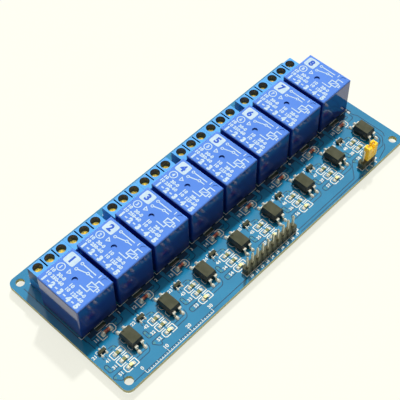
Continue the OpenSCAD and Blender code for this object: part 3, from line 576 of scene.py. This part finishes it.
# White print: brackets and plain numbers beside the parts, terminal numbers, and a rule along the edge
def drawLegend():
    z, thin = layerZ["ink"], legendPlan["thin"]
    shapes = []
    line = lambda points, radius=0.0, width=legendPlan["stroke"]: shapes.append(
        ribbon(np.array(points, float), width, stacked(z, shapes), radius))
    text = lambda value, x, y, height=legendPlan["height"], **more: shapes.append(
        number(value, x, y, stacked(z, shapes), height, **more))

    # two facing brackets round a part that lies along X; cut is the chamfer of each one's corners
    def brackets(x, y, halfL, halfW, gap, cutLeft=0.0, cutRight=0.0):
        for side, cut in ((-1, cutLeft), (1, cutRight)):
            end, inner = side * halfL, side * gap / 2
            line([[x + inner, y + halfW], [x + end - side * cut, y + halfW], [x + end, y + halfW - cut],
                  [x + end, y - halfW + cut], [x + end - side * cut, y - halfW], [x + inner, y - halfW]])

    foot = relayFront - 0.18
    for k, x in enumerate(channelXs):
        n = k + 1
        line([[x - 8.2, foot + 1.3], [x - 8.2, foot], [x - 4.6, foot]], width=thin)
        line([[x - 2.65, foot], [x + 1.4, foot]], width=0.26)
        line([[x + slotEnds[0] + 0.4, slotYs[0] - 0.14], [x + slotEnds[1] - 0.4, slotYs[0] - 0.14]],
             width=0.13)
        line([[x + 3.5, foot], [x + 7.3, foot], [x + 7.3, foot + 0.5]], width=thin)
        text(n, x + 6.9, foot - 1.35)
        brackets(x + diodeX, diodeY, 3.15, 1.45, 1.9, 0, 0.65)
        text(10 + n, x - 5.15, diodeY)
        for side in (-1, 1):
            line([[x + transX + side * 0.95, transY + 1.25], [x + transX + side * 1.75, transY + 1.25],
                  [x + transX + side * 1.75, transY + 0.2]], width=thin)
        line([[x + transX - 0.4, transY - 1.1], [x + transX + 0.4, transY - 1.1]], width=thin)
        text(20 + n, x + transX - 3.15, transY + 0.25)
        for row, y in enumerate(resistorYs):
            brackets(x + chipX, y, 2.5, 1.2, 0.7, 0.2, 0.15)
            text(30 + 10 * row + n, x + chipX - 4.05, y + 0.1)
        brackets(x + chipX, ledY, 2.5, 1.2, 0.7, 0.5, 0.15)
        text(50 + n, x + chipX - 4.25, ledY + 0.15)
        # the optocoupler's left side, with the notch that marks its first pin
        left = x + optoX - 2.62
        line([[left + a, optoY + b] for a, b in ((0.7, 2.75), (0.25, 2.75), (0, 2.5), (0, 0.9), (0.75, 0.45),
                                                 (0.75, -0.45), (0, -0.9), (0, -2.65), (0.6, -2.65))],
             radius=0.3, width=thin)
    # headers: outline and pin numbers
    for low, high, xs, first in ((headerLow, headerHigh, headerXs, 10),
                                 (jumperLow, jumperHigh, jumperXs, 1)):
        line([[low[0] - 0.22, high[1] - 0.2], [low[0] - 0.22, low[1] - 0.2], [high[0] + 0.22, low[1] - 0.2],
              [high[0] + 0.22, high[1] - 0.2]])
        for k, x in enumerate(xs):
            text(first + k, x, low[1] - 1.05, 1.15, weight=0.05)
    # a printed rule, with long marks at tens and middle ones at fives
    x0, y0, last = boardLow[0] + 9.0, boardLow[1] + 0.75, legendPlan["ruleMm"]
    line([[x0, y0], [x0 + last, y0]], width=0.18)
    for mm in range(last + 1):
        tall = 1.35 if mm % 10 == 0 else 0.95 if mm % 5 == 0 else 0.6
        line([[x0 + mm, y0], [x0 + mm, y0 + tall]], width=0.18)
    for mm in range(0, last + 1, 10):
        text(mm, x0 + mm + (0.55 if mm else 0), y0 + 2.3, 1.35)
    # terminals: a number at each pole, the channel's number under the middle one, and one long line
    blockMiddles = [high[0] - 1.5 * legendPlan["poleMm"] for low, high in blockBoxes]
    for x in blockMiddles:
        for pole in (1, 2, 3):
            text(pole, x + legendPlan["poleMm"] * (pole - 2), boardHigh[1] - 3.4, 1.5, turn=180)
    for k, x in enumerate(blockMiddles):
        text(k + 1, x, boardHigh[1] - 1.35, 1.1, turn=180)
    line([[blockBoxes[0][0][0] + 0.5, blockRear + 0.25], [blockBoxes[-1][1][0], blockRear + 0.25]])
    makePiece("board_legend", shapes, inkWhite)


drawLegend()
print("stage: legend")

# a pad's width, length, height and how far its corners are drawn in, then its places from the part's middle
solderPlan = {
    "opto": [(1.35, 1.75, 0.72, 0.27), [(a, b) for a in (-1.27, 1.27) for b in (-4.85, 4.85)]],
    "transistor": [(0.95, 1.1, 0.42, 0.25), [(-0.95, -1.2), (0.95, -1.2), (0, 1.2)]],
    "chip": [(1.1, 1.35, 0.42, 0.12), [(-1.22, 0), (1.22, 0)]],
    "diode": [(1.5, 1.75, 0.8, 0.15), [(-1.62, 0), (1.62, 0)]],
}


# Mounds of solder at the ends of every small part on the board's top
def drawSurfaceSolder():
    z = boardTop + 0.005
    middles = {"opto": [(optoX, optoY)], "transistor": [(transX, transY)], "diode": [(diodeX, diodeY)],
               "chip": [(chipX, y) for y in (*resistorYs, ledY)]}
    shapes = [placed(solderMound(*pad), [[x + u + a, v + b, z]
                                         for x in channelXs for u, v in middles[kind] for a, b in places])
              for kind, (pad, places) in solderPlan.items()]
    makePiece("surface_solder", shapes, solderSkin, smooth=True)


drawSurfaceSolder()
print("stage: surface solder")

# Pad-printed two-part ink: a thin pale film, duller than the cover, whose blue comes through a little
padInk = grainedFinish({
    "name": "pad_print_ink", "tones": ("#d4e8f1", "#c3dcee"), "patchMm": 1.5, "grainMm": 0.15,
    "depthMm": 0.003, "roughness": (0.4, 0.55)})
# The number left open in the printed field: bare cover between ridges of ink, so blue but hardly glossy
inkBlue = grainedFinish({
    "name": "cover_blue_number", "tones": ("#2a63d8", "#2559c8"), "patchMm": 3, "grainMm": 0.15,
    "depthMm": 0.003, "roughness": (0.3, 0.4)})

printPlan = {"big": 2.3, "small": 1.42, "stroke": 0.4, "z": relayTop + 0.012}  # digits, lines, level


# Flat field with rounded corners: over an angle a, x is half the width times |cos a|^e and y half the
# length times |sin a|^e, with their signs kept; an e of 1 gives an ellipse, and one near 0 a rectangle
def roundedField(x, y, width, length, z, e=0.28, steps=40):
    angle = np.arange(steps) * 2 * np.pi / steps
    wave = np.stack([np.cos(angle), np.sin(angle)], 1)
    edge = np.sign(wave) * np.abs(wave) ** e * [width / 2, length / 2]
    points = np.stack([edge, edge * 0.02]).reshape(-1, 2) + [x, y]
    return np.column_stack([points, np.full(len(points), z)]), gridFaces(2, steps, True)


# Generic wiring diagram and plain numbers on a relay's top, read with the relay's +X side up
def drawRelayPrint():
    shapes, knock = [], []
    for k, x in enumerate(channelXs):
        # the print's own axes: s runs towards -Y, t runs towards +X
        at = lambda points: np.array([[x + t, relayMiddle - s] for s, t in points], float)
        level = lambda: stacked(printPlan["z"], shapes)
        line = lambda points, width=printPlan["stroke"]: shapes.append(ribbon(at(points), width, level()))
        text = lambda value, s, t, height, weight=0.05: shapes.append(
            number(value, x + t, relayMiddle - s, level(), height, -90, weight))
        loop = lambda s, t, inner, outer: shapes.append(
            ring(x + t, relayMiddle - s, inner, outer, level(), 28))
        # big row of terminal numbers
        for j in range(5):
            text(j + 1, -7.5 + 3.75 * j, -6.0, printPlan["big"], 0.08)
            if j < 4:
                line([[-6.15 + 3.75 * j, -6.0], [-5.1 + 3.75 * j, -6.0]], 0.5)
        # two small rows of ratings as plain numbers
        for row, values in enumerate((("10", "250-60", "10", "125-60"), ("10", "30-0", "10", "28-0"))):
            for s, value in zip((-7.6, -3.75, 1.15, 5.35), values):
                text(value, s, -3.85 + 1.75 * row, printPlan["small"], 0.06)
        # white field with the channel's number
        shapes.append(roundedField(x + 4.5, relayMiddle + 6.2, 4.3, 4.6, level()))
        knock.append(number(k + 1, x + 4.5, relayMiddle + 6.2, printPlan["z"] + 0.012, 2.9, -90, 0.05))
        # channel number in a circle, with a small triangle that points to the first terminal
        loop(-6.7, 0.25, 1.2, 1.55)
        text(k + 1, -6.7, 0.25, 1.4)
        line([[-3.8, -0.15], [-2.6, 0.65], [-3.8, 1.45], [-3.8, 0.15]], 0.34)
        # changeover contact: three rings, an arm and its leads
        for s, t in ((-2.6, 5.6), (-2.6, 3.0), (1.4, 4.3)):
            loop(s, t, 0.28, 0.6)
        line([[-2.1, 3.2], [0.9, 4.15]])
        line([[2.0, 4.3], [3.7, 4.3]])
        line([[-2.1, 5.6], [3.7, 5.6]])
        # coil: a box with a stroke across it and two leads, each with its number
        line([[6.0, 1.0], [7.5, 1.0], [7.5, 3.0], [4.5, 3.0], [4.5, 1.0], [6.0, 1.0]])
        line([[5.0, 1.35], [7.0, 2.65]], 0.3)
        line([[6.0, 3.2], [6.0, 4.7], [8.2, 4.7]])
        line([[6.0, 0.8], [6.0, -0.35], [2.6, -0.35]])
        text(1, 5.0, 6.1, 1.3)
        text(2, 8.3, 2.1, 1.3)
    makePiece("relay_print", shapes, padInk)
    makePiece("relay_print_numbers", knock, inkBlue)


drawRelayPrint()
print("stage: relay print")

# Relay covers: PBT from a polished mould, a saturated blue glossy enough to mirror the room
coverBlue = grainedFinish({
    "name": "glossy_blue_pbt", "tones": ("#4a86e8", "#4f8aec"), "patchMm": 12, "grainMm": 0.35,
    "depthMm": 0.001, "roughness": (0.05, 0.09), "shader": {"IOR": 1.63}})
# the walls are painted a deeper blue than the top: painted shade on the sides
overlay(coverBlue, onWalls(coverBlue.node_tree), "#163f9c")
dress(coverBlue, *eachOf("relay_cover"))

# Relay bases: the same plastic from a plain mould, dark blue and satin
dress(grainedFinish({
    "name": "relay_base_pbt", "tones": ("#1b3f94", "#17377f"), "patchMm": 5, "grainMm": 0.25,
    "depthMm": 0.004, "roughness": (0.4, 0.5)}), *eachOf("relay_base"))

# Terminal housings: injection-moulded polyamide, sky blue and satin
blockBlue = grainedFinish({
    "name": "satin_blue_polyamide", "tones": ("#55abf0", "#60b4f4"), "patchMm": 6, "grainMm": 0.2,
    "depthMm": 0.004, "roughness": (0.28, 0.4), "shader": {"IOR": 1.53}})
# the walls are painted a deeper blue than the top: painted shade on the sides
overlay(blockBlue, onWalls(blockBlue.node_tree), "#2f8ad8")

# deep inside the screw wells the plastic is painted a much deeper blue: painted shade in the wells
wellShadePlan = {"tone": "#0c427c", "endWall": 0.4, "halfWidth": 2.3, "fromTop": 2.65, "halfDepth": 2.5}


# 1 inside the screw wells, which repeat with each pair of blocks
def inWells(tree):
    blockLeft, pairRight, blockTop = blockBoxes[0][0][0], blockBoxes[1][1][0], blockBoxes[0][1][2]
    screwY = sum(boxMm("terminal_screws"))[1] / 2
    x, y, z = placeMm(tree)[:3]
    return allOf(tree, [
        near(tree, x, (blockLeft + pairRight) / 2, (pairRight - blockLeft) / 2 - wellShadePlan["endWall"],
             2 * channelPitch),
        near(tree, y, screwY, wellShadePlan["halfWidth"]),
        near(tree, z, blockTop - wellShadePlan["fromTop"], wellShadePlan["halfDepth"])])


overlay(blockBlue, inWells(blockBlue.node_tree), wellShadePlan["tone"])
dress(blockBlue, *eachOf("terminal_block"))

# Optocouplers and transistors: filled epoxy, black, with the fine spark-eroded skin of its mould; its paler
# olive-grey tones are a painted sheen
epoxyBlack = grainedFinish({
    "name": "black_mould_epoxy", "tones": ("#4d4e3a", "#424431"), "patchMm": 2.5, "grainMm": 0.09,
    "depthMm": 0.012, "roughness": (0.42, 0.55)})
# walls darker than the tops: the tops' olive-grey is a painted sheen over the black epoxy
overlay(epoxyBlack, onWalls(epoxyBlack.node_tree), "#292a20")
dress(epoxyBlack, *eachOf("optocoupler"), "transistors")

# Leads and caps: copper dipped in tin, pale and softly shiny, frosted in the same way
dress(grainedFinish({
    "name": "tinned_copper_lead", "tones": ("#fffceb", "#f2efdd"), "patchMm": 0.8, "grainMm": 0.2,
    "depthMm": 0.004, "roughness": (0.34, 0.46), "shader": {"Metallic": 0.4}}),
    "relay_pins", "terminal_contacts", "optocoupler_leads", "transistor_leads", "resistor_ends", "led_ends",
    "diode_caps", "solder_joints", "jumper_contact")

# Coils: enamelled copper wire, red-brown metal ribbed as finely as its 0.12 mm turns
dress(grainedFinish({
    "name": "enamelled_copper_wire", "tones": ("#a3512a", "#8c4020"), "patchMm": 1, "grainMm": 0.12,
    "depthMm": 0.02, "roughness": (0.3, 0.4), "shader": {"Metallic": 1.0}}), "relay_windings")

# Bobbins: moulded nylon, ivory and satin
dress(grainedFinish({
    "name": "ivory_bobbin_nylon", "tones": ("#e6e0cf", "#d9d2be"), "patchMm": 3, "grainMm": 0.2,
    "depthMm": 0.004, "roughness": (0.45, 0.55)}), "relay_bobbins")

# Cores and yokes: nickel-plated soft iron, a warm grey metal with a soft shine
dress(grainedFinish({
    "name": "nickelled_iron", "tones": ("#a9a9a4", "#989893"), "patchMm": 2, "grainMm": 0.2,
    "depthMm": 0.004, "roughness": (0.3, 0.42), "shader": {"Metallic": 1.0}}), "relay_cores", "relay_yokes")

# Screws: turned steel, zinc-plated with yellow chromate, so pale gold with sparkling tool marks.
# The marks are drawn 0.9 mm coarse to show, and a faint glow stands for the light that a well gathers.
dress(grainedFinish({
    "name": "yellow_chromate_zinc", "tones": ("#fff6a4", "#fbe884"), "patchMm": 0.9, "grainMm": 0.9,
    "depthMm": 0.16, "roughness": (0.28, 0.4),
    "shader": {"Metallic": 0.6, "Emission Color": linear("#f8df68"), "Emission Strength": 0.3}}),
    "terminal_screws")

# Clamps: pressed steel in bright zinc, a cool grey metal
dress(grainedFinish({
    "name": "bright_zinc_steel", "tones": ("#b9bcbd", "#a7abad"), "patchMm": 1.2, "grainMm": 0.2,
    "depthMm": 0.005, "roughness": (0.28, 0.4), "shader": {"Metallic": 1.0}}), "terminal_clamps")

# Diodes: drawn glass tube, orange, with the wet gloss of glass melted shut
diodeGlass = grainedFinish({
    "name": "orange_lead_glass", "tones": ("#ffa876", "#ff8f58"), "patchMm": 0.9, "grainMm": 0.3,
    "depthMm": 0.002, "roughness": (0.06, 0.12), "shader": {"IOR": 1.55, "Coat Weight": 0.6}})
pelletPlan = {"tone": "#b23a26", "solid": 0.25, "faded": 1.0}  # mm from the diode's middle


# 1 at the middle of each diode, where its dark red pellet is, and 0 at the copper seals of both ends
def atPellet(tree):
    middle = channelXs[0] + diodeX
    along = addNode(tree, "Math", {0: placeMm(tree)[0], 1: middle + channelPitch / 2,
                                   2: middle - channelPitch / 2}, operation="WRAP")
    away = addNode(tree, "Math", {0: along.outputs[0], 1: middle}, operation="SUBTRACT")
    away = addNode(tree, "Math", {0: away.outputs[0]}, operation="ABSOLUTE")
    fade = addNode(tree, "MapRange", {"Value": away.outputs[0], "From Min": pelletPlan["solid"],
                                      "From Max": pelletPlan["faded"], "To Min": 1.0, "To Max": 0.0})
    return fade.outputs[0]


overlay(diodeGlass, atPellet(diodeGlass.node_tree), pelletPlan["tone"])
dress(diodeGlass, "diode_glass")

# Chip resistors: fired glass glaze, olive with a soft gloss
dress(grainedFinish({
    "name": "resistor_glaze", "tones": ("#8f9461", "#7d8152"), "patchMm": 0.5, "grainMm": 0.1,
    "depthMm": 0.004, "roughness": (0.3, 0.45)}), "resistors")

# LED carriers: white-filled resin laminate, cream and nearly dull
dress(grainedFinish({
    "name": "led_carrier_resin", "tones": ("#efe9d2", "#e2dcc2"), "patchMm": 0.8, "grainMm": 0.1,
    "depthMm": 0.003, "roughness": (0.4, 0.5)}), "led_bases")

# LED lenses: cast epoxy, smooth and pale yellow as it is over an unlit chip
dress(grainedFinish({
    "name": "clear_yellow_epoxy", "tones": ("#fffabf", "#fff69c"), "patchMm": 0.6, "grainMm": 0.2,
    "depthMm": 0.002, "roughness": (0.12, 0.2), "shader": {"Coat Weight": 0.5}}), "led_lenses")

# Header bodies: glass-filled nylon, charcoal, its fibres giving a fine matt grain
dress(grainedFinish({
    "name": "black_header_nylon", "tones": ("#4a4c39", "#545742"), "patchMm": 2, "grainMm": 0.12,
    "depthMm": 0.008, "roughness": (0.4, 0.52)}), "header_housing", "jumper_housing")

# Header pins: brass with a thin flash of pale gold, drawn through dies, so satin rather than bright
dress(grainedFinish({
    "name": "flash_gold_pin", "tones": ("#f0ead0", "#dcd4b2"), "patchMm": 1.4, "grainMm": 0.2,
    "depthMm": 0.006, "roughness": (0.36, 0.46), "shader": {"Metallic": 0.6}}), "header_pins", "jumper_pins")

# Jumper cap: moulded PBT, warm yellow and satin; it scatters light over about a millimetre, and the
# faint glow stands for light that comes through its thin walls
dress(grainedFinish({
    "name": "yellow_jumper_pbt", "tones": ("#ffdd44", "#ffd63c"), "patchMm": 2, "grainMm": 0.15,
    "depthMm": 0.004, "roughness": (0.34, 0.44),
    "shader": {"IOR": 1.45, "Subsurface Weight": 0.5, "Subsurface Scale": 0.001,
               "Subsurface Radius": (0.6, 0.6, 0.2), "Emission Color": linear("#ffb82c"),
               "Emission Strength": 0.15}}), "jumper_cap")
print("stage: finishes")

studio = {
    # paper: its tone to the eye and as it lights the board, the share of plain white in it, half its width
    "floorTone": "#fbfaf0", "bounceTone": "#dcdbd0", "floorWhite": "#fffff2", "floorGlow": 0.78,
    "floorHalf": 3.0,
    # shaded paper under the board: tone, share of white, and its reach from the middle in metres
    "shadeTone": "#4c4f38", "shadeGlow": 0.02, "shadeReach": {"X": 0.062, "Y": 0.021},
    # room: its strength as a light; in glosses it is white towards whiteSide and fades to dimSide, and
    # it has a white skirt low down; the fades are the cosine to whiteSide and the height where they run
    "roomWhite": "#fffff6", "skyDiffuse": 0.08, "whiteSide": (0.3, 0.42, 0.85), "whiteFade": (0.45, 0.95),
    "dimSide": 0.15, "skirt": 0.9, "skirtFade": (0.3, 0.55),
    # lamps: direction, degrees across, watts per square metre
    "keyFrom": (0.59, 0.39, 1.0), "keyAngle": 4, "keyStrength": 2.7,
    "softFrom": (0.25, 0.32, 1.0), "softAngle": 50, "softStrength": 1.05,
    # camera: degrees, metres, and millimetres of lens and film
    "azimuth": -45.5, "elevation": 53.3, "roll": -1.0,
    "target": (-0.0014, 0.0061, 0.0016), "distance": 0.353, "lens": 91.5, "film": 36,
}


# White paper under the board
def makeFloor():
    half, z = studio["floorHalf"], cadBounds[0][2]
    mesh = bpy.data.meshes.new("floor")
    mesh.from_pydata([(-half, -half, z), (half, -half, z), (half, half, z), (-half, half, z)], [],
                     [(0, 1, 2, 3)])
    floor = bpy.data.objects.new("floor", mesh)
    bpy.context.scene.collection.objects.link(floor)
    material = bpy.data.materials.new("white_paper")
    material.use_nodes = True
    tree = material.node_tree
    shader = tree.nodes["Principled BSDF"]
    shader.inputs["Roughness"].default_value = 0.9
    shader.inputs["Specular IOR Level"].default_value = 0.0
    rays = addNode(tree, "LightPath")
    tone = addNode(tree, "Mix", {0: rays.outputs["Is Diffuse Ray"], 6: linear(studio["floorTone"]),
                                 7: linear(studio["bounceTone"])}, data_type="RGBA")
    # under the board itself the paper is painted dark as shade, so the milled slots look down on shade
    place = addNode(tree, "SeparateXYZ", {0: addNode(tree, "TexCoord").outputs["Object"]})
    outside = []
    for axis, reach in studio["shadeReach"].items():
        away = addNode(tree, "Math", {0: place.outputs[axis]}, operation="ABSOLUTE")
        outside.append(addNode(tree, "Math", {0: away.outputs[0], 1: reach}, operation="GREATER_THAN"))
    lit = addNode(tree, "Math", {0: outside[0].outputs[0], 1: outside[1].outputs[0]}, operation="MAXIMUM")
    paper = addNode(tree, "Mix", {0: lit.outputs[0], 6: linear(studio["shadeTone"]), 7: tone.outputs[2]},
                    data_type="RGBA")
    tree.links.new(paper.outputs[2], shader.inputs["Base Color"])
    # seen directly or in a gloss, most of the paper is plain white, so its shadows stay faint
    share = addNode(tree, "MapRange", {"Value": lit.outputs[0], "To Min": studio["shadeGlow"],
                                       "To Max": studio["floorGlow"]})
    direct = rays.outputs["Is Camera Ray"]
    for ray in ("Is Glossy Ray", "Is Transmission Ray"):
        direct = addNode(tree, "Math", {0: direct, 1: rays.outputs[ray]}, operation="MAXIMUM").outputs[0]
    glow = addNode(tree, "Emission", {"Color": linear(studio["floorWhite"]), "Strength": 1.0})
    mixed = addNode(tree, "MixShader", {0: allOf(tree, [direct, share.outputs[0]]), 1: shader.outputs[0],
                                        2: glow.outputs[0]})
    tree.links.new(mixed.outputs[0], tree.nodes["Material Output"].inputs["Surface"])
    mesh.materials.append(material)


# The room: plain white to look at, a weak even light, and a white and a dim side for glosses to mirror
def makeRoom():
    world = bpy.data.worlds.new("studio")
    bpy.context.scene.world = world
    world.use_nodes = True
    tree = world.node_tree
    way = addNode(tree, "TexCoord").outputs["Generated"]
    ramp = lambda value, fade, start, end: addNode(
        tree, "MapRange", {"Value": value, "From Min": studio[fade][0], "From Max": studio[fade][1],
                           "To Min": start, "To Max": end}, interpolation_type="SMOOTHSTEP").outputs[0]
    # white overhead and behind, dim on the side of the camera
    facing = addNode(tree, "VectorMath", {0: way, 1: Vector(studio["whiteSide"]).normalized()},
                     operation="DOT_PRODUCT")
    overhead = ramp(facing.outputs["Value"], "whiteFade", studio["dimSide"], 1.0)
    # the white paper rises all round, so low directions are white on every side
    height = addNode(tree, "SeparateXYZ", {0: way})
    skirt = ramp(height.outputs["Z"], "skirtFade", studio["skirt"], 0.0)
    room = addNode(tree, "Math", {0: overhead, 1: skirt}, operation="MAXIMUM")
    rays = addNode(tree, "LightPath")
    straight = addNode(tree, "Math", {0: rays.outputs["Is Camera Ray"],
                                      1: rays.outputs["Is Transmission Ray"]}, operation="MAXIMUM")
    strength = addNode(tree, "Mix", {0: rays.outputs["Is Glossy Ray"], 2: studio["skyDiffuse"],
                                     3: room.outputs[0]})
    strength = addNode(tree, "Mix", {0: straight.outputs[0], 2: strength.outputs[0], 3: 1.0})
    background = tree.nodes["Background"]
    background.inputs["Color"].default_value = linear(studio["roomWhite"])
    tree.links.new(strength.outputs[0], background.inputs["Strength"])


# A key lamp with a crisp edge and a soft one beside it; glosses mirror the white room, not the lamps
def makeLamps():
    for name in ("key", "soft"):
        light = bpy.data.lights.new(name, "SUN")
        light.angle, light.energy = math.radians(studio[name + "Angle"]), studio[name + "Strength"]
        lamp = bpy.data.objects.new(name, light)
        lamp.visible_glossy = False
        lamp.location = studio[name + "From"]
        lamp.rotation_euler = (-Vector(studio[name + "From"])).to_track_quat("-Z", "Y").to_euler()
        bpy.context.scene.collection.objects.link(lamp)


# The camera looks at its target from azimuth and elevation, then turns by roll about its own axis
def makeCamera():
    az, el, roll = (math.radians(studio[k]) for k in ("azimuth", "elevation", "roll"))
    back = Vector((math.sin(az) * math.cos(el), -math.cos(az) * math.cos(el), math.sin(el)))
    right = Vector((math.cos(az), math.sin(az), 0))
    up = back.cross(right)
    turnedRight = right * math.cos(roll) + up * math.sin(roll)
    turnedUp = up * math.cos(roll) - right * math.sin(roll)
    turn = Matrix((turnedRight, turnedUp, back)).transposed().to_4x4()
    camera = bpy.data.cameras.new("camera")
    camera.lens, camera.sensor_width = studio["lens"], studio["film"]
    camera.clip_start, camera.clip_end = 0.01, 20
    holder = bpy.data.objects.new("camera", camera)
    holder.matrix_world = Matrix.Translation(Vector(studio["target"]) + back * studio["distance"]) @ turn
    bpy.context.scene.collection.objects.link(holder)
    bpy.context.scene.camera = holder


makeFloor()
makeRoom()
makeLamps()
makeCamera()
bpy.context.scene.view_settings.view_transform = "Standard"
print("stage: studio")
